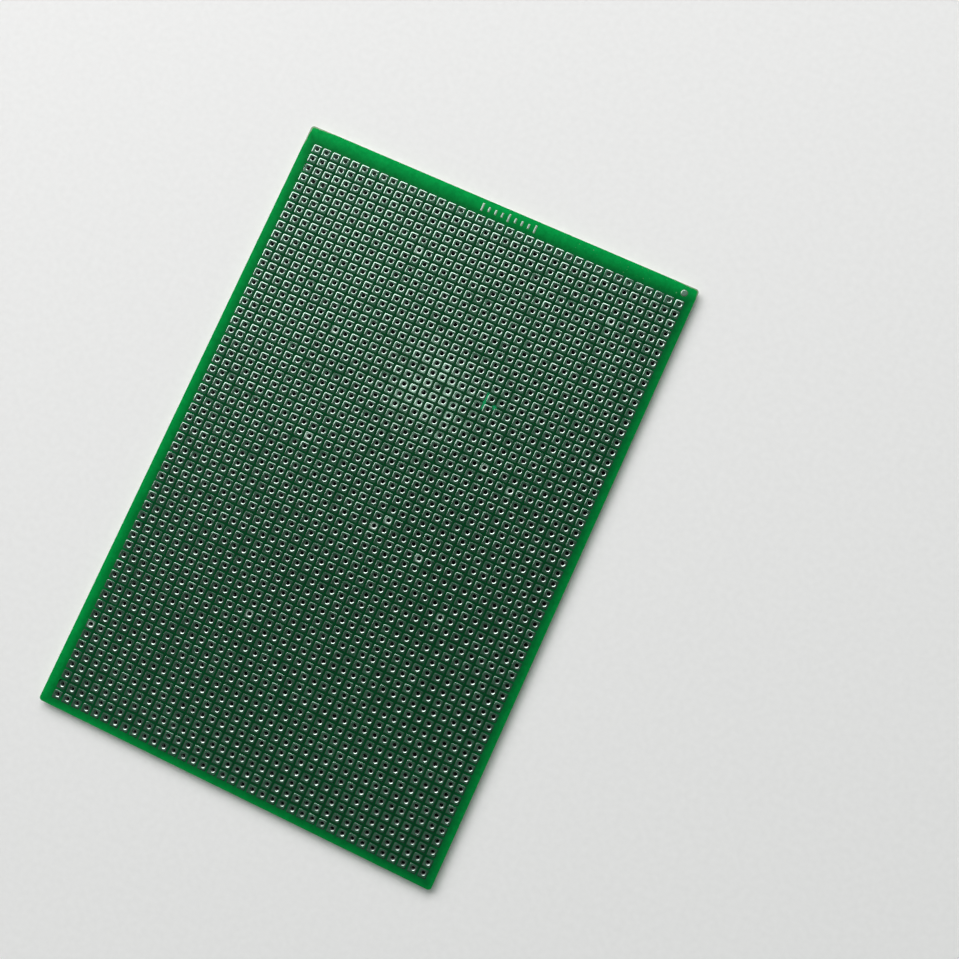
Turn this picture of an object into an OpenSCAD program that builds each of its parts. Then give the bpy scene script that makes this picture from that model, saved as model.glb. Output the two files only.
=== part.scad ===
// A double-sided prototype board: a drilled glass-epoxy sheet with a solder mask on both
// faces, and one tinned, plated-through pad for each hole.
// The board lies flat in the XY plane, centred on the origin, with its underside at z = 0.
// Its top margin, which holds the marks, is at +Y.

/* [Board] */
// Width of the board, across the columns of holes
board_w = 100.6; // [30:0.1:150]
// Length of the board, along the columns of holes
board_l = 150; // [30:0.1:250]
// Thickness of the sheet with the solder mask on both faces
board_t = 1.6; // [0.8:0.1:3.2]
// Radius of the four corners
corner_r = 0.8; // [0.2:0.1:2]
// Thickness of the solder mask on each face
mask_t = 0.02; // [0.01:0.01:0.04]

/* [Hole grid] */
// Distance between the centres of neighbouring holes
pitch = 2.54; // [2.1:0.01:5.08]
// Least distance from a hole's centre to a side edge
side_margin = 3; // [1.5:0.05:10]
// Shift of the grid from the middle of the board towards the right edge
grid_shift = 0.25; // [-1:0.05:1]
// Distance from the first row of holes to the top edge
top_margin = 5; // [4.8:0.05:15]
// Least distance from the last row of holes to the bottom edge
bottom_margin = 2.75; // [1.5:0.05:10]

/* [Pads] */
// Side of a square pad
pad_w = 2; // [1.5:0.05:2.4]
// Thickness of a pad's copper and tin above the laminate
pad_t = 0.05; // [0.045:0.005:0.1]
// Inner diameter of a plated hole
hole_d = 1; // [0.6:0.05:1.3]
// Thickness of the plating that lines a hole
plating_t = 0.05; // [0.02:0.01:0.08]
// Gap between a pad or mark and the solder mask around it
mask_gap = 0.03; // [0.01:0.01:0.05]

/* [Margin marks] */
// Number of bars in the row of plain marks
bar_count = 9; // [1:1:15]
// Distance between neighbouring bars
bar_pitch = 1.7; // [0.8:0.1:3]
// Shift of the row of bars from the middle of the board towards the right edge
bar_shift = 2.5; // [-10:0.1:10]
// Width of a bar
bar_w = 0.45; // [0.2:0.05:0.6]
// Length of a long bar
long_bar = 2; // [1:0.1:2.2]
// Length of a short bar
short_bar = 1.2; // [0.5:0.1:2]
// Every bar of this count is a long one
long_bar_step = 4; // [1:1:8]
// Diameter of the round mark
dot_d = 1.6; // [0.5:0.1:2]
// Distance from the round mark's centre to the right edge
dot_inset = 3; // [1.5:0.1:10]
// Distance from the marks' centre line to the top edge
mark_inset = 2; // [1.4:0.1:2.4]

/* [Hidden] */
$fn = 48;
FR4 = [0, 0.42, 0.18];
TIN = [0.72, 0.74, 0.72];

// The laminate between its two coats of solder mask
laminate_bottom = mask_t;
laminate_top = board_t - mask_t;
laminate_t = laminate_top - laminate_bottom;

// The grid holds as many holes as fit inside the margins
cols = floor((board_w - 2 * (side_margin + abs(grid_shift))) / pitch) + 1;
rows = floor((board_l - top_margin - bottom_margin) / pitch) + 1;
first_col_x = grid_shift - (cols - 1) * pitch / 2;
first_row_y = board_l / 2 - top_margin;
last_row_y = first_row_y - (rows - 1) * pitch;

// A hole is drilled larger than it ends up, by the plating
drill_d = hole_d + 2 * plating_t;

// The pads of one column share one opening in the mask
opening_w = pad_w + 2 * mask_gap;
opening_l = (rows - 1) * pitch + opening_w;

mark_y = board_l / 2 - mark_inset;
dot_x = board_w / 2 - dot_inset;

// A cut runs past the faces that it goes through
cut_through = 1;

function col_x(c) = first_col_x + (c - 1) * pitch;
function row_y(r) = first_row_y - (r - 1) * pitch;
function column_name(c) = str("pads_column_", c < 10 ? "0" : "", c);
function bar_x(b) = bar_shift + (b - (bar_count - 1) / 2) * bar_pitch;
function bar_length(b) = b % long_bar_step == 0 ? long_bar : short_bar;

// Plan of the sheet, with rounded corners
module outline() {
  square([board_w - 2 * corner_r, board_l], center = true);
  square([board_w, board_l - 2 * corner_r], center = true);
  for (x = [-1, 1], y = [-1, 1])
    translate([x * (board_w / 2 - corner_r), y * (board_l / 2 - corner_r)])
      circle(r = corner_r);
}

// Plan of one column's opening in the mask, about the column's centre line
module column_opening() {
  translate([-opening_w / 2, last_row_y - opening_w / 2]) square([opening_w, opening_l]);
}

// Plan of the margin marks, each widened all round by the gap
module marks(gap) {
  for (b = [0 : bar_count - 1])
    translate([bar_x(b), mark_y])
      square([bar_w + 2 * gap, bar_length(b) + 2 * gap], center = true);
  translate([dot_x, mark_y]) circle(d = dot_d + 2 * gap);
}

// The sheet at its full thickness: everything that the mask covers
module masked_sheet() {
  linear_extrude(board_t) difference() {
    outline();
    for (c = [1 : cols])
      translate([col_x(c), 0]) column_opening();
    marks(mask_gap);
  }
}

// The bare laminate in one column's opening, with its row of drilled holes
module drilled_strip() {
  translate([0, 0, laminate_bottom]) linear_extrude(laminate_t) difference() {
    column_opening();
    for (r = [1 : rows])
      translate([0, row_y(r)]) circle(d = drill_d);
  }
}

// The sheet that carries the pads: the laminate with its solder mask
module substrate() {
  color(FR4) {
    masked_sheet();
    linear_extrude(laminate_top) marks(mask_gap);
    for (c = [1 : cols])
      translate([col_x(c), 0, 0]) drilled_strip();
  }
}

module margin_marks() {
  color(TIN) translate([0, 0, laminate_top]) linear_extrude(pad_t) marks(0);
}

// A square of tinned copper, in one piece with the barrel that lines its hole
module pad() {
  difference() {
    union() {
      translate([0, 0, laminate_top]) linear_extrude(pad_t) square(pad_w, center = true);
      translate([0, 0, laminate_bottom]) cylinder(d = drill_d, h = laminate_t);
    }
    translate([0, 0, -cut_through]) cylinder(d = hole_d, h = board_t + 2 * cut_through);
  }
}

module pads_column(c) {
  color(TIN)
    for (r = [1 : rows])
      translate([col_x(c), row_y(r), 0]) pad();
}

substrate();
margin_marks();
for (c = [1 : cols]) pads_column(c);
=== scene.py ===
import math

import bmesh
import bpy
import numpy as np
from mathutils import Matrix, Vector
from mathutils.geometry import delaunay_2d_cdt


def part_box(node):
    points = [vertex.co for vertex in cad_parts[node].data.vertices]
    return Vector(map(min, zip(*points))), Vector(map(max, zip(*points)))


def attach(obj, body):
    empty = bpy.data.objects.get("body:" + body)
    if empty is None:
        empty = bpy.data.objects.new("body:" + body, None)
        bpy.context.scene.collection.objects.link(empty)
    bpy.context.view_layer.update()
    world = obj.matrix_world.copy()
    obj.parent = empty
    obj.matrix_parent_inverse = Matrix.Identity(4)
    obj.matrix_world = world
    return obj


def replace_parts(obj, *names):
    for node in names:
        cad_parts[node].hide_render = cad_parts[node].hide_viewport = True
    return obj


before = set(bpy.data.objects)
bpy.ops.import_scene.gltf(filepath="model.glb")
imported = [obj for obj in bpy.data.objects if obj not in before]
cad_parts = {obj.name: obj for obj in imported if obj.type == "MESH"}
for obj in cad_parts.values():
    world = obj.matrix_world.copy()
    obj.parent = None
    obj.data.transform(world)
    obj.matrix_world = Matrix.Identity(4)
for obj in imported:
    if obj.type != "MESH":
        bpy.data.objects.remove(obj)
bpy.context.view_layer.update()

MM = 0.001
SEED = 38

# Levels of the sheet, in millimetres above the floor. The underside mirrors the top.
LAMINATE_LOW = 0.05
LAMINATE_TOP = 1.58
MASK_LOW = 0.03
MASK_TOP = 1.60
PAD_TOP = 1.63

rng = np.random.default_rng(SEED)


# ---------------------------------------------------------------- the grid, from the frame

# A wider gap than this along X, in millimetres, parts one margin mark from the next
MARK_BREAK = 0.8


def read_grid():
    """The columns' node names, the centres of columns and rows, and the pitch, in millimetres."""
    names = sorted(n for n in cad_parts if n.startswith("pads_column_"))
    boxes = [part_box(n) for n in names]
    xs = np.array([(low.x + high.x) / 2 for low, high in boxes]) / MM
    low, high = boxes[0]
    side = (high.x - low.x) / MM
    pitch = (xs[-1] - xs[0]) / (len(xs) - 1)
    top, bottom = high.y / MM - side / 2, low.y / MM + side / 2
    rows = round((top - bottom) / pitch) + 1
    return names, xs, np.linspace(top, bottom, rows), pitch


def read_marks():
    """Boxes of the separate marks in the top margin, as (x0, y0, x1, y1) in millimetres."""
    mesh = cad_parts["margin_marks"].data
    points = np.array([v.co[:2] for v in mesh.vertices]) / MM
    points = points[np.argsort(points[:, 0])]
    breaks = np.where(np.diff(points[:, 0]) > MARK_BREAK)[0] + 1
    groups = np.split(points, breaks)
    return [(*g.min(0), *g.max(0)) for g in groups]


column_nodes, column_x, row_y, pitch = read_grid()
_, board_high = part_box("substrate")
half_w = board_high.x / MM
half_l = board_high.y / MM


# ---------------------------------------------------------------- meshes

def build_mesh(name, points, faces):
    """A mesh from points in millimetres and arrays of triangles or quads."""
    mesh = bpy.data.meshes.new(name)
    mesh.vertices.add(len(points))
    mesh.vertices.foreach_set("co", (points * MM).astype(np.float32).ravel())
    sizes = np.concatenate([np.full(len(f), f.shape[1]) for f in faces])
    corners = np.concatenate([f.ravel() for f in faces])
    starts = np.concatenate([[0], np.cumsum(sizes)[:-1]])
    mesh.loops.add(len(corners))
    mesh.loops.foreach_set("vertex_index", corners.astype(np.int32))
    mesh.polygons.add(len(sizes))
    mesh.polygons.foreach_set("loop_start", starts.astype(np.int32))
    mesh.update(calc_edges=True)
    mesh.validate()
    return mesh


def add_layer(mesh, label, values):
    """One value for each point, under a name that a material reads."""
    layer = mesh.attributes.new(label, "FLOAT", "POINT")
    layer.data.foreach_set("value", np.asarray(values, np.float32).ravel())


def add_piece(name, mesh, material, smooth):
    """A piece of the object, which rides on the one body."""
    mesh.polygons.foreach_set("use_smooth", np.full(len(mesh.polygons), smooth))
    mesh.materials.append(material)
    piece = bpy.data.objects.new(name, mesh)
    bpy.context.scene.collection.objects.link(piece)
    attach(piece, "root")
    return piece


def circle_ring(radius, count):
    """Points of a circle, from +X, anticlockwise."""
    angle = np.arange(count) * 2 * math.pi / count
    return radius * np.stack([np.cos(angle), np.sin(angle)], 1)


def square_ring(half, corner):
    """Points of a square with rounded corners: each side's middle, and three for each corner."""
    flat = half - corner
    arc = flat + corner * math.sqrt(0.5)
    quarter = np.array([[half, 0], [half, flat], [arc, arc], [flat, half]])
    turn = np.array([[0, 1], [-1, 0]])
    sides = [quarter]
    for _ in range(3):
        sides.append(sides[-1] @ turn)
    return np.concatenate(sides)


def stack_rings(levels, start=0):
    """Points of flat rings given as (plan, height), and each ring's point numbers from start."""
    points, rings = [], []
    for plan, height in levels:
        points.append(np.column_stack([plan, np.full(len(plan), height)]))
        rings.append(np.arange(start, start + len(plan)))
        start += len(plan)
    return np.concatenate(points), rings


def band_faces(first, second):
    """Faces between two closed rings of point numbers, one of which may have half as many."""
    if len(first) < len(second):
        return band_faces(second, first)[:, ::-1]
    a, b = first, np.roll(first, -1)
    c, d = second, np.roll(second, -1)
    if len(first) == len(second):
        return np.stack([a, b, d, c], 1)
    even, odd = first[0::2], first[1::2]
    after = np.roll(even, -1)
    return np.concatenate([np.stack(t, 1) for t in ((even, odd, c), (odd, d, c), (odd, after, d))])


# ---------------------------------------------------------------- pads

# Points in each ring of a pad. The barrel inside the laminate has half as many.
RING = 16

# Profile of a pad, from the lip underneath, over the lower plate, up through the laminate, over
# the top land and down the hole. Each ring: plan, size, corner radius, height, how dull it is, and
# how far it turns to the paler edge colours there, which are partly painted highlight.
PAD_PROFILE = [
    ("circle", 0.640, 0, 0.0, 0, 0.3),
    ("square", 0.960, 0.22, 0.008, 0, 0.3),
    ("square", 1.000, 0.24, 0.05, 0, 1),
    ("inner", 0.550, 0, 0.05, 0, 1),
    ("inner", 0.550, 0, 1.58, 0, 1),
    ("square", 1.000, 0.24, 1.58, 0, 1),
    ("square", 0.940, 0.22, 1.608, 0, 1),
    ("square", 0.860, 0.20, 1.629, 0, 0),
    ("circle", 0.650, 0, 1.627, 0, 0.1),
    ("circle", 0.575, 0, 1.597, 0, 0.5),
    ("circle", 0.500, 0, 1.542, 0.4, 0.5),
    ("circle", 0.500, 0, 0.20, 1, 0.5),
]

# Rings with a sharp edge: the upper plate's foot, both edges of its land, and the hole's mouth
CREASED_RINGS = (5, 7, 8, 10)

# How far the holes lie off their pads' centres, and how much that varies, in millimetres
DRILL_SHIFT = np.array([0.04, 0.12])
DRILL_DRIFT = 0.018
DRIFT_MOST = 0.04

# How high the pads stand over the mask, as a share of the profile
CROWN_SHARES = (0.55, 1.0)

# How uneven the tin is on most pads, on some and on a few, and how far the pads lean
LUMP_SIZES = [0.0003, 0.0008, 0.002, 0.010]
LUMP_SHARES = [0.57, 0.30, 0.115, 0.015]
PAD_LEAN = 0.009

# How bright the pads' tin is, from 0 to 1, and how much that varies
TONE_MIDDLE = 0.5
TONE_SPREAD = 0.17

# The share of pads with dull pale tin round the hole, which is painted glint, and how dull it is
GLINT_PAD_SHARE = 0.010
GLINT_PAD_DULL = 0.9


def ring_points(kind, size, corner):
    """Plan of one ring of a pad's profile."""
    if kind == "square":
        return square_ring(size, corner)
    if kind == "circle":
        return circle_ring(size, RING)
    half_count = RING // 2
    return circle_ring(size / math.cos(math.pi / half_count), half_count)


def pad_template():
    """Points, quads, triangles and rings of one pad about its own centre."""
    levels = [(ring_points(kind, size, corner), height)
              for kind, size, corner, height, *_ in PAD_PROFILE]
    points, rings = stack_rings(levels)
    bands = [band_faces(first, second) for first, second in zip(rings, rings[1:] + rings[:1])]
    quads, tris = [np.concatenate([b for b in bands if b.shape[1] == sides]) for sides in (4, 3)]
    return points, quads, tris, rings


def ring_values(rings, values):
    """One value a ring, spread over the points of a pad."""
    return np.concatenate([np.full(len(ring), value) for ring, value in zip(rings, values)])


def column_points(template, upper, follows_hole):
    """Points of one column's pads, each about its own centre and uneven in its own way."""
    count, size = len(row_y), len(template)
    points = np.repeat(template[None], count, 0)
    drift = rng.normal(0, DRILL_DRIFT, (count, 1, 2)).clip(-DRIFT_MOST, DRIFT_MOST)
    points[:, :, :2] += (DRILL_SHIFT + drift) * follows_hole[:, :, None]
    crown = rng.uniform(*CROWN_SHARES, (count, 1))
    uneven = rng.choice(LUMP_SIZES, (count, 1), p=LUMP_SHARES)
    lumps = rng.normal(0, 1, (count, size)) * uneven
    lean = rng.normal(0, PAD_LEAN, (count, 2))
    lumps += lean @ template[:, :2].T
    raised = MASK_TOP + (points[:, :, 2] - MASK_TOP) * crown + lumps
    points[:, :, 2] = np.where(upper, np.minimum(raised, PAD_TOP), points[:, :, 2])
    return points


def add_pad_layers(mesh, rings, upper, follows_hole):
    """The tone of each pad, how dull each of its points is, and how far each turns to the paler edge
    colours, which are partly painted highlight; a few pads are dull and pale round the hole as painted
    glint.
    """
    count, size = len(row_y), upper.size
    tones = rng.normal(TONE_MIDDLE, TONE_SPREAD, count).clip(0, 1)
    # Painted glint: a few pads turn dull and pale round the hole
    glint_pads = (rng.random((count, 1)) < GLINT_PAD_SHARE) & upper & (follows_hole > 0)
    dull, bright = [ring_values(rings, column) for column in list(zip(*PAD_PROFILE))[-2:]]
    add_layer(mesh, "tone", np.repeat(tones, size))
    add_layer(mesh, "bore", np.maximum(dull, GLINT_PAD_DULL * glint_pads))
    add_layer(mesh, "rim", np.tile(bright, (count, 1)))


def crease(mesh, size, rings):
    """A sharp edge along some rings of every pad in a column, each pad with size points."""
    ends = np.empty(len(mesh.edges) * 2, np.int32)
    mesh.edges.foreach_get("vertices", ends)
    ends = ends.reshape(-1, 2) % size
    on_ring = np.any([np.isin(ends, ring).all(1) for ring in rings], 0)
    sharp = mesh.attributes.new("sharp_edge", "BOOLEAN", "EDGE")
    sharp.data.foreach_set("value", on_ring)


def add_pads():
    """One piece for each CAD column: every pad is plate, barrel and lower plate in one."""
    template, quads, tris, rings = pad_template()
    upper = (template[:, 2] > MASK_TOP)[None]
    is_round = [0.0 if kind == "square" else 1.0 for kind, *_ in PAD_PROFILE]
    follows_hole = ring_values(rings, is_round)[None]
    count, size = len(row_y), len(template)
    shift = (np.arange(count) * size)[:, None, None]
    faces = [(f[None] + shift).reshape(-1, f.shape[1]) for f in (quads, tris)]
    for node, x in zip(column_nodes, column_x):
        points = column_points(template, upper, follows_hole)
        points[:, :, 0] += x
        points[:, :, 1] += row_y[:, None]
        mesh = build_mesh(node.replace("column", "piece"), points.reshape(-1, 3), faces)
        add_pad_layers(mesh, rings, upper, follows_hole)
        crease(mesh, size, [rings[i] for i in CREASED_RINGS])
        piece = add_piece("pads_" + node[-2:], mesh, tin, True)
        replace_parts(piece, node)


# ---------------------------------------------------------------- margin marks

# Profile of a mark: how far in from its outline, as a share of its half width, and the height
MARK_PROFILE = [(0.0, LAMINATE_TOP), (0.0, 1.604), (0.25, 1.618), (0.6, 1.628), (0.9, PAD_TOP)]
BAR_RING = 16
DOT_RING = 24
MARK_CORNER = 0.12

# The gap round a mark, and how much the sides of a round one's box may differ, in millimetres
MARK_GAP = 0.03
ROUND_WITHIN = 0.03

# How dull the bars and the dot are, and how far they turn to the paler edge colours, which are partly
# painted highlight
BAR_FINISH = (0.55, 0.1)
DOT_FINISH = (0.3, 0.0)


def is_disc(box):
    """Whether a mark's box is as long as it is wide."""
    x0, y0, x1, y1 = box
    return abs((x1 - x0) - (y1 - y0)) < ROUND_WITHIN


def mark_outline(box, inset):
    """A mark's outline, moved inwards: a disc, or a bar with rounded corners."""
    x0, y0, x1, y1 = box
    half_x, half_y = (x1 - x0) / 2, (y1 - y0) / 2
    move = inset * min(half_x, half_y)
    if is_disc(box):
        outline = circle_ring(half_x - move, DOT_RING)
    else:
        corner = MARK_CORNER * (1 - inset)
        outline = square_ring(1.0, 0.0) * [half_x - move - corner, half_y - move - corner]
        outline += corner * circle_ring(1.0, BAR_RING)
    return outline + [(x0 + x1) / 2, (y0 + y1) / 2]


def fan(ring):
    """Triangles that close a ring of point numbers."""
    return np.stack([np.full(len(ring) - 2, ring[0]), ring[1:-1], ring[2:]], 1)


def add_marks():
    """The tinned bars and dot in the top margin, each one slightly domed."""
    points, quads, caps, finish = [], [], [], []
    for box in read_marks():
        levels = [(mark_outline(box, inset), height) for inset, height in MARK_PROFILE]
        shell, rings = stack_rings(levels, len(finish))
        points.append(shell)
        finish += [DOT_FINISH if is_disc(box) else BAR_FINISH] * len(shell)
        quads += [band_faces(first, second) for first, second in zip(rings, rings[1:])]
        caps += [fan(rings[-1]), fan(rings[0][::-1])]
    mesh = build_mesh("marks", np.concatenate(points), [np.concatenate(quads), np.concatenate(caps)])
    for label, values in zip(("bore", "rim"), np.transpose(finish)):
        add_layer(mesh, label, values)
    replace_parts(add_piece("top_margin_marks", mesh, tin, True), "margin_marks")


# ---------------------------------------------------------------- sheets

# Plan sizes, in millimetres: the board's corners, the mask's windows, and the drilled holes,
# whose outline starts at an angle in degrees
CORNER_RADIUS = 0.8
CORNER_STEPS = 6
WINDOW_HALF = 1.03
DRILL_RADIUS = 0.55
DRILL_SIDES = 8
LOWER_LEFT = 225

# Where the mask is worn off at a corner: how far before and after it, and how deep, in
# millimetres, anticlockwise from the upper right. The depth varies along the edge.
NO_WEAR = (0, 0, 0)
WORN_CORNERS = [(1.4, 5.0, 0.34), (5.2, 4.4, 0.46), NO_WEAR, NO_WEAR]
WEAR_STEP = 0.3
WEAR_SHARES = (0.55, 1.0)

# Points closer than this are one: on the flat margin, in millimetres, and in a mesh, in metres
MARGIN_WITHIN = 1e-6
MERGE_WITHIN = 1e-7


def corner_path(corner, centre, wear):
    """Outline round one corner and along the edges beside it, worn back raggedly."""
    before, after, depth = wear
    turns = corner + np.linspace(0, 1, CORNER_STEPS + 1)
    out = np.stack([np.cos(turns * math.pi / 2), np.sin(turns * math.pi / 2)], 1)
    arc = np.array(centre) + CORNER_RADIUS * out
    lead = np.arange(before, 0, -WEAR_STEP)
    tail = np.arange(WEAR_STEP, after + WEAR_STEP / 2, WEAR_STEP)
    along_in = np.array([-out[0][1], out[0][0]])
    along_out = np.array([-out[-1][1], out[-1][0]])
    path = np.concatenate([arc[0] - lead[:, None] * along_in, arc, arc[-1] + tail[:, None] * along_out])
    normal = np.repeat(out, [len(lead) + 1] + [1] * (len(out) - 2) + [len(tail) + 1], 0)
    fade = np.concatenate([1 - lead / max(before, 1), np.ones(len(arc)), 1 - tail / max(after, 1)])
    ragged = rng.uniform(*WEAR_SHARES, len(path)) * np.sqrt(fade.clip(0, 1)) * depth
    return path - normal * ragged[:, None]


def sheet_outline(wear):
    """Outline of the board, anticlockwise from the right, worn back at each corner as asked."""
    flat_w, flat_l = half_w - CORNER_RADIUS, half_l - CORNER_RADIUS
    centres = [(flat_w, flat_l), (-flat_w, flat_l), (-flat_w, -flat_l), (flat_w, -flat_l)]
    return np.concatenate([corner_path(i, *corner) for i, corner in enumerate(zip(centres, wear))])


def inside(points, loop):
    """Which points lie inside a closed loop."""
    found = np.zeros(len(points), bool)
    x, y = points[:, 0], points[:, 1]
    for (x0, y0), (x1, y1) in zip(loop, np.roll(loop, -1, 0)):
        if y0 == y1:
            continue
        crosses = (y0 > y) != (y1 > y)
        found ^= crosses & (x < (x1 - x0) * (y - y0) / (y1 - y0) + x0)
    return found


def margin_triangles(outline, inner, windows):
    """Triangles between the outline and the grid's rectangle, leaving out the windows."""
    loops = [outline, inner, *windows]
    points = [Vector(p) for loop in loops for p in loop]
    edges, start = [], 0
    for loop in loops:
        count = len(loop)
        edges += [(start + i, start + (i + 1) % count) for i in range(count)]
        start += count
    result = delaunay_2d_cdt(points, edges, [], 0, MARGIN_WITHIN)
    flat, faces = np.array([tuple(v) for v in result[0]]), np.array(result[2])
    centre = flat[faces].mean(1)
    keep = inside(centre, outline)
    for loop in loops[1:]:
        keep &= ~inside(centre, loop)
    return flat, faces[keep]


def grid_lines(centres):
    """Lines between neighbouring centres, and one half a pitch outside each end."""
    ordered = np.sort(centres)
    middle = (ordered[1:] + ordered[:-1]) / 2
    return np.concatenate([[ordered[0] - pitch / 2], middle, [ordered[-1] + pitch / 2]])


def grid_border(xs, ys):
    """The grid's rectangle, anticlockwise from its lower left corner, with a point at each line."""
    border = [(x, ys[0]) for x in xs[:-1]] + [(xs[-1], y) for y in ys[:-1]]
    border += [(x, ys[-1]) for x in xs[:0:-1]] + [(xs[0], y) for y in ys[:0:-1]]
    return np.array(border)


def cell_faces(corner, hole):
    """Triangles between the corners of each cell and the four or eight points of its opening."""
    cells = [corner[:-1, :-1], corner[:-1, 1:], corner[1:, 1:], corner[1:, :-1]]
    cells = np.stack([c.ravel() for c in cells], 1)
    count = hole.shape[1]
    per_side = count // 4
    faces = []
    for side in range(4):
        a, b = cells[:, side], cells[:, (side + 1) % 4]
        inner = [hole[:, (side * per_side + k) % count] for k in range(per_side + 1)]
        faces += [np.stack([a, b, inner[1]], 1), np.stack([a, inner[1], inner[0]], 1)]
        if per_side > 1:
            faces.append(np.stack([b, inner[2], inner[1]], 1))
    return faces


def sheet_plan(window, outline, extra):
    """Flat faces of a perforated sheet: points, triangles, and the loops of its openings."""
    xs, ys = grid_lines(column_x), grid_lines(row_y)
    corner_points = np.array([(x, y) for y in ys for x in xs])
    corner = np.arange(len(corner_points)).reshape(len(ys), len(xs))
    centres = np.array([(x, y) for y in np.sort(row_y) for x in np.sort(column_x)])
    holes = (centres[:, None] + window[None]).reshape(-1, 2)
    hole = len(corner_points) + np.arange(len(holes)).reshape(-1, len(window))
    flat, margin = margin_triangles(outline, grid_border(xs, ys), extra)
    margin += len(corner_points) + len(holes)
    points = np.concatenate([corner_points, holes, flat])
    return points, np.concatenate([*cell_faces(corner, hole), margin]), hole


def loop_numbers(points, loop):
    """The point number at each place of a loop."""
    return np.array([np.argmin(((points - p) ** 2).sum(1)) for p in loop])


def merge_close(mesh):
    """Joins points at one place, where the grid meets the margin."""
    work = bmesh.new()
    work.from_mesh(mesh)
    bmesh.ops.remove_doubles(work, verts=work.verts, dist=MERGE_WITHIN)
    bmesh.ops.recalc_face_normals(work, faces=work.faces)
    work.to_mesh(mesh)
    work.free()
    return mesh


def sheet_mesh(name, window, outline, extra, low, high):
    """A closed perforated sheet between two heights, in millimetres."""
    plan, faces, hole = sheet_plan(window, outline, extra)
    count = len(plan)
    top = np.column_stack([plan, np.full(count, high)])
    bottom = np.column_stack([plan, np.full(count, low)])
    around = loop_numbers(plan, outline)
    walls = [np.stack([around, around + count, np.roll(around, -1) + count, np.roll(around, -1)], 1)]
    for ring in [*hole, *(loop_numbers(plan, loop) for loop in extra)]:
        after = np.roll(ring, -1)
        walls.append(np.stack([ring, after, after + count, ring + count], 1))
    faces = [faces, faces[:, ::-1] + count, np.concatenate(walls)]
    return merge_close(build_mesh(name, np.concatenate([top, bottom]), faces))


def window_rectangle(half_x, half_y):
    """Corners of a rectangle about its centre, anticlockwise from the lower left."""
    return np.array([(-half_x, -half_y), (half_x, -half_y), (half_x, half_y), (-half_x, half_y)])


def drill_plan():
    """Octagon round the barrel, with points on the diagonals, from the lower left."""
    radius = DRILL_RADIUS / math.cos(math.pi / DRILL_SIDES)
    angle = np.radians(LOWER_LEFT + np.arange(DRILL_SIDES) * 360 / DRILL_SIDES)
    return radius * np.stack([np.cos(angle), np.sin(angle)], 1)


def mark_windows():
    """Openings in the mask round the margin marks."""
    windows = []
    for box in read_marks():
        x0, y0, x1, y1 = box
        half_x, half_y = (x1 - x0) / 2 + MARK_GAP, (y1 - y0) / 2 + MARK_GAP
        window = circle_ring(half_x, DOT_RING) if is_disc(box) else window_rectangle(half_x, half_y)
        windows.append(window + [(x0 + x1) / 2, (y0 + y1) / 2])
    return windows


def add_sheets():
    """The drilled laminate and the two layers of solder mask, which stand for the substrate."""
    window = window_rectangle(WINDOW_HALF, WINDOW_HALF)
    plain = sheet_outline([NO_WEAR] * 4)
    worn = sheet_outline(WORN_CORNERS)
    core = sheet_mesh("laminate", drill_plan() + DRILL_SHIFT, plain, [], LAMINATE_LOW, LAMINATE_TOP)
    upper = sheet_mesh("mask_top", window, worn, mark_windows(), LAMINATE_TOP, MASK_TOP)
    lower = sheet_mesh("mask_bottom", window, plain, [], MASK_LOW, LAMINATE_LOW)
    pieces = [add_piece("board_laminate", core, laminate, False),
              add_piece("solder_mask_top", upper, mask, False),
              add_piece("solder_mask_bottom", lower, mask, False)]
    for piece in pieces:
        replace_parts(piece, "substrate")


# ---------------------------------------------------------------- materials

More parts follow.
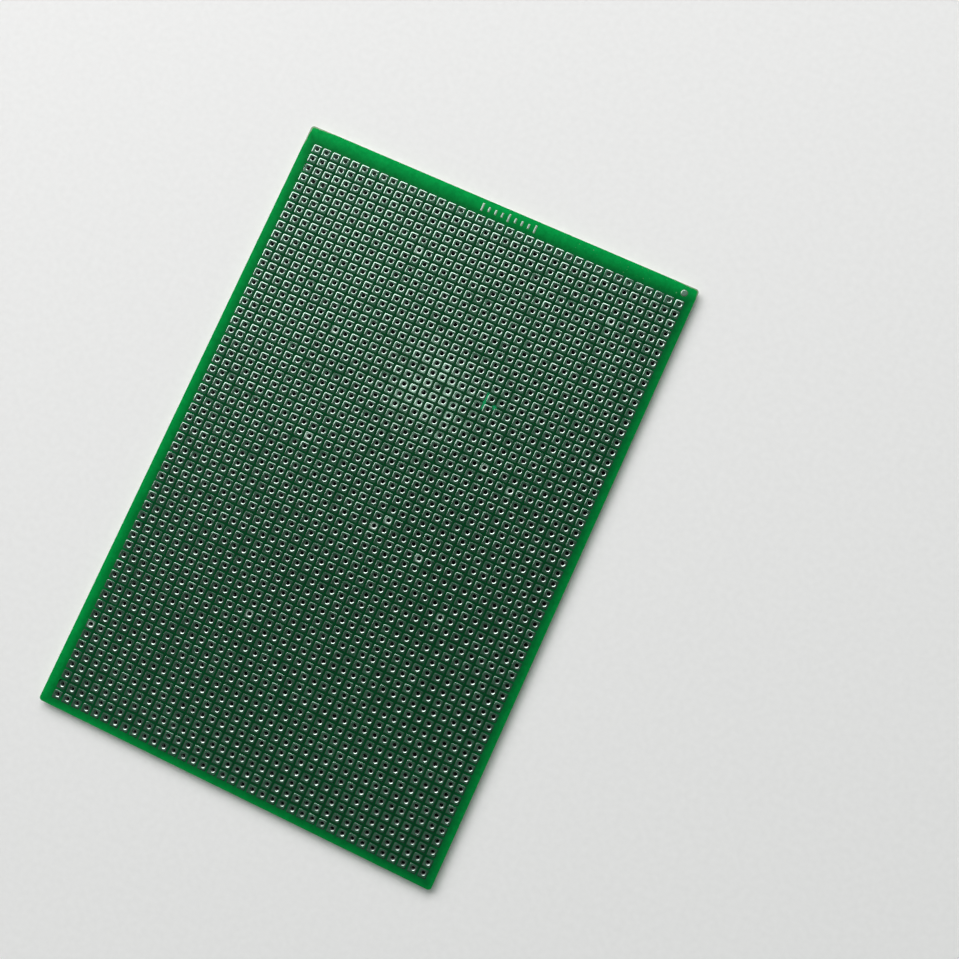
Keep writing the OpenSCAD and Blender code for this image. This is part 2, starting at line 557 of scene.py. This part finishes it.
class Nodes:
    """A short way to write a node tree."""

    def __init__(self, name=None, world=None):
        if world:
            self.tree = world.node_tree
            return
        self.material = bpy.data.materials.new(name)
        self.material.use_nodes = True
        self.tree = self.material.node_tree
        self.shader = self.tree.nodes["Principled BSDF"]

    def add(self, kind, settings=None, **inputs):
        """A node. An input is given by its name, or as i0, i1 and so on by its number."""
        node = self.tree.nodes.new("ShaderNode" + kind)
        for key, value in (settings or {}).items():
            setattr(node, key, value)
        for key, value in inputs.items():
            numbered = key[0] == "i" and key[1:].isdigit()
            self.put(node.inputs[int(key[1:]) if numbered else key.replace("_", " ")], value)
        return node

    def put(self, socket, value):
        """Links a socket to another node's output, or sets its own value."""
        if isinstance(value, bpy.types.NodeSocket):
            self.tree.links.new(value, socket)
        else:
            socket.default_value = value

    def shade(self, name, value):
        """Links or sets one input of the material's shader."""
        self.put(self.shader.inputs[name], value)

    def bump(self, height, strength, distance):
        """Gives the shader a bump, with its distance in metres."""
        node = self.add("Bump", None, Strength=strength, Distance=distance, Height=height)
        self.shade("Normal", node.outputs[0])

    def math(self, operation, a, b=0.0, c=0.0):
        """The result of one sum."""
        node = self.add("Math", {"operation": operation}, i0=a, i1=b, i2=c)
        return node.outputs[0]

    def ramp(self, value, stops):
        """A colour ramp through (position, colour) stops."""
        node = self.add("ValToRGB", None, Fac=value)
        elements = node.color_ramp.elements
        while len(elements) < len(stops):
            elements.new(0.5)
        for element, (position, colour) in zip(elements, stops):
            element.position = position
            element.color = (*colour, 1)
        return node.outputs["Color"]

    def noise(self, place, scale, detail=2.0, rough=0.5):
        """Noise at a place, mostly between 0.3 and 0.7."""
        node = self.add("TexNoise", None, Vector=place, Scale=scale, Detail=detail, Roughness=rough)
        return node.outputs["Fac"]

    def span(self, value, low, high, to_low=0.0, to_high=1.0):
        """A value's place between low and high, carried over to another range."""
        limits = {"From_Min": low, "From_Max": high, "To_Min": to_low, "To_Max": to_high}
        return self.add("MapRange", None, Value=value, **limits).outputs[0]

    def mix(self, factor, a, b, blend="MIX"):
        """A mixture of two colours."""
        node = self.add("Mix", {"data_type": "RGBA", "blend_type": blend}, i0=factor, i6=a, i7=b)
        return node.outputs[2]

    def layer(self, label):
        """A mesh's own value at each point."""
        return self.add("Attribute", {"attribute_name": label}).outputs["Fac"]

    def place(self):
        """The place on the object, in metres."""
        return self.add("TexCoord").outputs["Object"]


def grey(value):
    """A grey as red, green and blue."""
    return (value, value, value)


# The noise's usual range, for what follows it
NOISE_SPAN = (0.3, 0.7)

# Tin: its noises as scale, detail and roughness, its bump as strength and distance in metres
TIN_CLOUD = (1400.0, 3.0, 0.6)
TIN_GRAIN = (1800.0, 2.0)
TIN_BUMP = (0.15, 0.00002)
TIN_ROUGHNESS = (0.10, 0.15)
RIM_ROUGHER = 0.12
DULL_ROUGHER = 0.28
DULL_METALLIC = 0.25
LAND_TONES = [(0.2, (0.16, 0.25, 0.19)), (0.8, (0.29, 0.42, 0.34))]
# Partly painted highlight: paler tin over the hole's mouth and greyer tin over the outer edges, so that
# the lamp's highlights there read white
MOUTH_COLOUR = (0.37, 0.42, 0.395, 1)
EDGE_SHEEN_COLOUR = (0.22, 0.31, 0.26, 1)
# Dull pale tin: in the barrels, and on a few pads as painted glint
DULL_COLOUR = (0.62, 0.72, 0.65, 1)

# Painted shade: the holes darken from this height in metres down to the floor
HOLE_SHADE_FROM = 0.0007
HOLE_SHADE_COLOUR = (0.008, 0.018, 0.012, 1)

# Solder mask: painted shade darkens it among the pads, and from inside the outermost pads' centres
# outwards, in metres, it turns paler
MARGIN_SPAN = (-0.0015, 0.0045)
# Painted light: the mask is paler towards the left and darker towards the right
LEFT_LIGHT_LEAN = 0.07
MASK_TONES = [(0.0, (0.0010, 0.048, 0.013)), (0.3, (0.0010, 0.088, 0.023)),
              (0.55, (0.0010, 0.175, 0.032)), (1.0, (0.001, 0.36, 0.068))]
MASK_SHADES = [(0.3, grey(0.82)), (0.7, grey(1.12))]
MASK_GRAIN = (900.0, 4.0, 0.65)
MASK_DRIFT = (60.0, 2.0)
DRIFT_TONE = 0.12
MASK_RIPPLE = (1200.0, 3.0)
MASK_BUMP = (0.2, 0.00002)
MASK_ROUGHNESS = (0.14, 0.20)
MASK_SPECULAR = 0.1

# Mask dragged over the gaps beside one pad: a line along its left and a spot at its lower right,
# placed in millimetres, and each fading between two distances in metres
SMEAR_COLUMN = 25
SMEAR_ROW = 15
SMEAR_BELOW = 0.9
SMEAR_SPOT = (1.35, 1.45)
SMEAR_WIDTH = (0.00045, 0.0003)
SMEAR_LENGTH = (0.0023, 0.0018)
SPOT_RADIUS = (0.0007, 0.0004)
SMEAR_SHARE = 0.9
SMEAR_COLOUR = (0.009, 0.33, 0.115, 1)

# Pale specks, where the noise is high. They set in between two places along Y and along X, in
# metres.
SPECK_NOISE = (1900.0, 0.0)
SPECK_LEVEL = (0.78, 0.82)
SPECKS_ABOVE = (0.0715, 0.0722)
SPECKS_RIGHT = (0.012, 0.026)
SPECK_SHARE = 0.8
SPECK_COLOUR = (0.12, 0.36, 0.17, 1)

# Laminate: its plies are a noise squeezed along Z
PLY_SCALE = (180.0, 180.0, 9000.0)
PLY_NOISE = (1.0, 3.0, 0.6)
PLY_TONES = [(0.3, (0.19, 0.32, 0.17)), (0.5, (0.29, 0.42, 0.26)), (0.72, (0.42, 0.53, 0.38))]
PLY_BUMP = (0.4, 0.00003)
LAMINATE_ROUGHNESS = (0.5, 0.75)
# Painted shade: the laminate among the pads is dark
PAD_SHADE_COLOUR = (0.001, 0.04, 0.011, 1)

# Floor: paper, but under the board, this far in from its edges in millimetres, it is painted dark as
# shade, and under the first row pale green as painted light leaking in
PAPER_TOOTH = (700.0, 3.0)
PAPER_TONES = [(0.3, (0.93, 0.895, 0.905)), (0.7, (0.96, 0.925, 0.935))]
PAPER_ROUGHNESS = 0.9
SHADE_INSET = 2.0
SHADE_COLOUR = (0.02, 0.025, 0.02, 1)
FIRST_ROW_LEAK_LIGHT = (0.30, 0.62, 0.42, 1)


def tin_material():
    """Hot-air-levelled tin: satin, uneven, and darkened by painted shade down in the holes."""
    n = Nodes("tin")
    place = n.place()
    depth = n.add("SeparateXYZ", None, Vector=place).outputs[2]
    tone, bore, rim = n.layer("tone"), n.layer("bore"), n.layer("rim")
    cloud = n.noise(place, *TIN_CLOUD)
    bright = n.math("ADD", n.math("MULTIPLY", tone, 0.5), n.math("MULTIPLY", cloud, 0.5))
    land = n.ramp(bright, LAND_TONES)
    mouth = n.mix(n.span(rim, 0.0, 0.5), land, MOUTH_COLOUR)
    # worn here holds the greyer edge colour, which is partly painted highlight
    worn = n.mix(n.span(rim, 0.5, 1.0), mouth, EDGE_SHEEN_COLOUR)
    dull = n.mix(bore, worn, DULL_COLOUR)
    # Painted shade: the tin darkens down in the holes
    down = n.span(depth, HOLE_SHADE_FROM, 0.0)
    n.shade("Base Color", n.mix(down, dull, HOLE_SHADE_COLOUR))
    n.shade("Metallic", n.span(bore, 0.0, 1.0, 1.0, DULL_METALLIC))
    satin = n.span(cloud, *NOISE_SPAN, *TIN_ROUGHNESS)
    smooth = n.math("ADD", satin, n.span(rim, 0.0, 1.0, 0.0, RIM_ROUGHER))
    n.shade("Roughness", n.math("ADD", smooth, n.math("MULTIPLY", bore, DULL_ROUGHER)))
    n.bump(n.noise(place, *TIN_GRAIN), *TIN_BUMP)
    return n.material


def off_grid(n, axes):
    """How far a place lies outside the outermost rows and columns, in metres."""
    off = []
    for axis, centres in zip(axes, (column_x, row_y)):
        middle, half = (centres[-1] + centres[0]) / 2 * MM, abs(centres[-1] - centres[0]) / 2 * MM
        off.append(n.math("SUBTRACT", n.math("ABSOLUTE", n.math("SUBTRACT", axis, middle)), half))
    return n.math("MAXIMUM", *off)


def smear(n, place, axes):
    """Where mask was dragged over the gaps beside one pad."""
    x, y = column_x[SMEAR_COLUMN], row_y[SMEAR_ROW]
    left, below = (x - pitch / 2) * MM, (y - SMEAR_BELOW) * MM
    across = n.math("ABSOLUTE", n.math("SUBTRACT", axes[0], left))
    along = n.math("ABSOLUTE", n.math("SUBTRACT", axes[1], below))
    line = n.math("MULTIPLY", n.span(across, *SMEAR_WIDTH), n.span(along, *SMEAR_LENGTH))
    spot = ((x + SMEAR_SPOT[0]) * MM, (y - SMEAR_SPOT[1]) * MM, MASK_TOP * MM)
    away = n.add("VectorMath", {"operation": "DISTANCE"}, i0=place, i1=spot).outputs["Value"]
    return n.math("MAXIMUM", line, n.span(away, *SPOT_RADIUS))


def specks(n, place, axes):
    """Pale specks near the right end of the upper edge."""
    dot = n.span(n.noise(place, *SPECK_NOISE), *SPECK_LEVEL)
    near = n.math("MULTIPLY", n.span(axes[1], *SPECKS_ABOVE), n.span(axes[0], *SPECKS_RIGHT))
    return n.math("MULTIPLY", dot, near)


def mask_material():
    """Glossy green solder mask, with painted shade among the pads, paler out in the margins, and
    painted light towards the left.
    """
    n = Nodes("solder_mask")
    place = n.place()
    axes = n.add("SeparateXYZ", None, Vector=place).outputs
    # Painted shade: dark among the pads, paler out in the margins
    edge = n.span(off_grid(n, axes), *MARGIN_SPAN)
    # Painted light: paler towards the left
    edge = n.math("ADD", edge, n.span(axes[0], -half_w * MM, half_w * MM, LEFT_LIGHT_LEAN, -LEFT_LIGHT_LEAN))
    grain = n.noise(place, *MASK_GRAIN)
    drift = n.noise(place, *MASK_DRIFT)
    wander = n.math("MULTIPLY", n.math("SUBTRACT", drift, 0.5), DRIFT_TONE)
    colour = n.ramp(n.math("ADD", edge, wander), MASK_TONES)
    clean = n.mix(1.0, colour, n.ramp(grain, MASK_SHADES), "MULTIPLY")
    dragged = n.mix(n.math("MULTIPLY", smear(n, place, axes), SMEAR_SHARE), clean, SMEAR_COLOUR)
    dusty = n.mix(n.math("MULTIPLY", specks(n, place, axes), SPECK_SHARE), dragged, SPECK_COLOUR)
    n.shade("Base Color", dusty)
    n.shade("Roughness", n.span(grain, *NOISE_SPAN, *MASK_ROUGHNESS))
    n.shade("Specular IOR Level", MASK_SPECULAR)
    n.bump(n.noise(place, *MASK_RIPPLE), *MASK_BUMP)
    return n.material


def laminate_material():
    """Glass-epoxy: pale and faintly green, in thin plies, and darkened by painted shade round the pads.
    """
    n = Nodes("laminate")
    place = n.place()
    stretched = n.add("Mapping", None, Vector=place, Scale=PLY_SCALE)
    plies = n.noise(stretched.outputs[0], *PLY_NOISE)
    colour = n.ramp(plies, PLY_TONES)
    axes = n.add("SeparateXYZ", None, Vector=place).outputs
    # Painted shade among the pads
    pad_shade = n.math("LESS_THAN", off_grid(n, axes), pitch / 2 * MM)
    n.shade("Base Color", n.mix(pad_shade, colour, PAD_SHADE_COLOUR))
    n.shade("Roughness", n.span(plies, *NOISE_SPAN, *LAMINATE_ROUGHNESS))
    n.bump(plies, *PLY_BUMP)
    return n.material


def floor_material():
    """Pale paper, with painted shade under the board, where only the holes show it, and painted light
    under the first row.
    """
    n = Nodes("floor")
    place = n.place()
    axes = n.add("SeparateXYZ", None, Vector=place).outputs
    paper = n.ramp(n.noise(place, *PAPER_TOOTH), PAPER_TONES)
    within = [n.math("LESS_THAN", n.math("ABSOLUTE", axis), (half - SHADE_INSET) * MM)
              for axis, half in zip(axes, (half_w, half_l))]
    # Painted light under the first row, painted shade under the rest of the board
    past_first_row = n.math("LESS_THAN", axes[1], (row_y[0] - pitch / 2) * MM)
    under = n.mix(past_first_row, FIRST_ROW_LEAK_LIGHT, SHADE_COLOUR)
    n.shade("Base Color", n.mix(n.math("MULTIPLY", *within), paper, under))
    n.shade("Roughness", PAPER_ROUGHNESS)
    return n.material


tin = tin_material()
mask = mask_material()
laminate = laminate_material()

add_pads()
add_marks()
add_sheets()


# ---------------------------------------------------------------- floor, light and camera

# The floor, in metres: it lies just under the object, so that the two never share a plane
FLOOR_HALF = 4.0
FLOOR_LEVEL = -0.00001

# The key lamp: its direction as a turn from +Y and a tilt from straight up, and its size in metres
KEY_TURN = math.radians(41)
KEY_TILT = math.radians(52)
KEY_DISTANCE = 1.8
KEY_SIZE = (2.9, 1.05)
KEY_WATTS = 47.5

# A small lamp overhead, which a patch of pads mirrors
OVERHEAD_DIRECTION = (-0.158, 0.1466, 0.98)
OVERHEAD_DISTANCE = 0.9
OVERHEAD_SIZE = (0.045, 0.045)
OVERHEAD_WATTS = 0.016

# The sky: its brightness along one direction, a fade to the east, a tint overhead by height,
# and plain grey at the horizon by height
SKY_DIRECTION = (-0.4, 0.92, 0.0)
SKY_SPAN = (-0.7, 0.5)
SKY_TONES = [(0.0, grey(0.025)), (0.22, grey(0.03)), (0.32, grey(0.23)), (0.42, grey(0.27)),
             (0.55, grey(0.15)), (0.73, grey(0.26)), (0.9, grey(0.42))]
EAST_FADE = [(0.12, grey(1.0)), (0.35, grey(0.45))]
OVERHEAD_TINT = [(0.78, grey(1.0)), (0.86, (0.50, 1.0, 0.74))]
HORIZON_BAND = [(0.28, grey(1.0)), (0.45, grey(0.0))]
HORIZON_COLOUR = (*grey(0.30), 1)

# The camera: places in millimetres, the turn of the image, and the lens
CAMERA_PLACE = (40.862, 1.23, 233.116)
CAMERA_TARGET = (21.926, 13.806, 1.6)
IMAGE_UP = math.radians(24.564)
CAMERA_LENS = 37.742
CAMERA_SENSOR = 36
CAMERA_NEAR = 0.01
CAMERA_FAR = 20


def add_floor():
    """A wide flat floor."""
    mesh = bpy.data.meshes.new("floor")
    sides = ((-1, -1), (1, -1), (1, 1), (-1, 1))
    corners = [(x * FLOOR_HALF, y * FLOOR_HALF, FLOOR_LEVEL) for x, y in sides]
    mesh.from_pydata(corners, [], [(0, 1, 2, 3)])
    mesh.materials.append(floor_material())
    floor = bpy.data.objects.new("floor", mesh)
    bpy.context.scene.collection.objects.link(floor)


def aim(thing, place, target, up):
    """Puts a camera or lamp at a place, looking at the target."""
    back = (Vector(place) - Vector(target)).normalized()
    right = Vector(up).cross(back).normalized()
    above = back.cross(right)
    turn = Matrix((right, above, back)).transposed().to_4x4()
    thing.matrix_world = Matrix.Translation(place) @ turn


def add_lamp(name, direction, distance, size, watts):
    """A rectangular lamp, some way from the origin and looking at it."""
    lamp = bpy.data.lights.new(name, "AREA")
    lamp.shape = "RECTANGLE"
    lamp.size, lamp.size_y = size
    lamp.energy = watts
    thing = bpy.data.objects.new(name, lamp)
    bpy.context.scene.collection.objects.link(thing)
    aim(thing, Vector(direction).normalized() * distance, (0, 0, 0), (0, 0, 1))


def add_world():
    """A dim sky: brighter towards the key lamp, tinted green overhead, grey at the horizon."""
    world = bpy.data.worlds.new("studio")
    world.use_nodes = True
    n = Nodes(world=world)
    place = n.add("TexCoord").outputs["Generated"]
    east, _, height = n.add("SeparateXYZ", None, Vector=place).outputs
    towards = n.add("VectorMath", {"operation": "DOT_PRODUCT"}, i0=place, i1=SKY_DIRECTION)
    sky = n.ramp(n.span(towards.outputs["Value"], *SKY_SPAN), SKY_TONES)
    horizon = n.ramp(height, HORIZON_BAND)
    sky = n.mix(1.0, sky, n.ramp(east, EAST_FADE), "MULTIPLY")
    sky = n.mix(1.0, sky, n.ramp(height, OVERHEAD_TINT), "MULTIPLY")
    background = world.node_tree.nodes["Background"]
    n.put(background.inputs["Color"], n.mix(horizon, sky, HORIZON_COLOUR))
    bpy.context.scene.world = world


def add_camera():
    """The camera, which looks down on the board from above."""
    camera = bpy.data.cameras.new("camera")
    camera.sensor_width = CAMERA_SENSOR
    camera.lens = CAMERA_LENS
    camera.clip_start = CAMERA_NEAR
    camera.clip_end = CAMERA_FAR
    thing = bpy.data.objects.new("camera", camera)
    bpy.context.scene.collection.objects.link(thing)
    up = (-math.sin(IMAGE_UP), math.cos(IMAGE_UP), 0)
    aim(thing, Vector(CAMERA_PLACE) * MM, Vector(CAMERA_TARGET) * MM, up)
    bpy.context.scene.camera = thing


add_floor()
add_world()
key_across = math.sin(KEY_TILT)
key_direction = (-math.sin(KEY_TURN) * key_across, math.cos(KEY_TURN) * key_across, math.cos(KEY_TILT))
add_lamp("key", key_direction, KEY_DISTANCE, KEY_SIZE, KEY_WATTS)
add_lamp("overhead", OVERHEAD_DIRECTION, OVERHEAD_DISTANCE, OVERHEAD_SIZE, OVERHEAD_WATTS)
add_camera()
bpy.context.scene.view_settings.view_transform = "Standard"
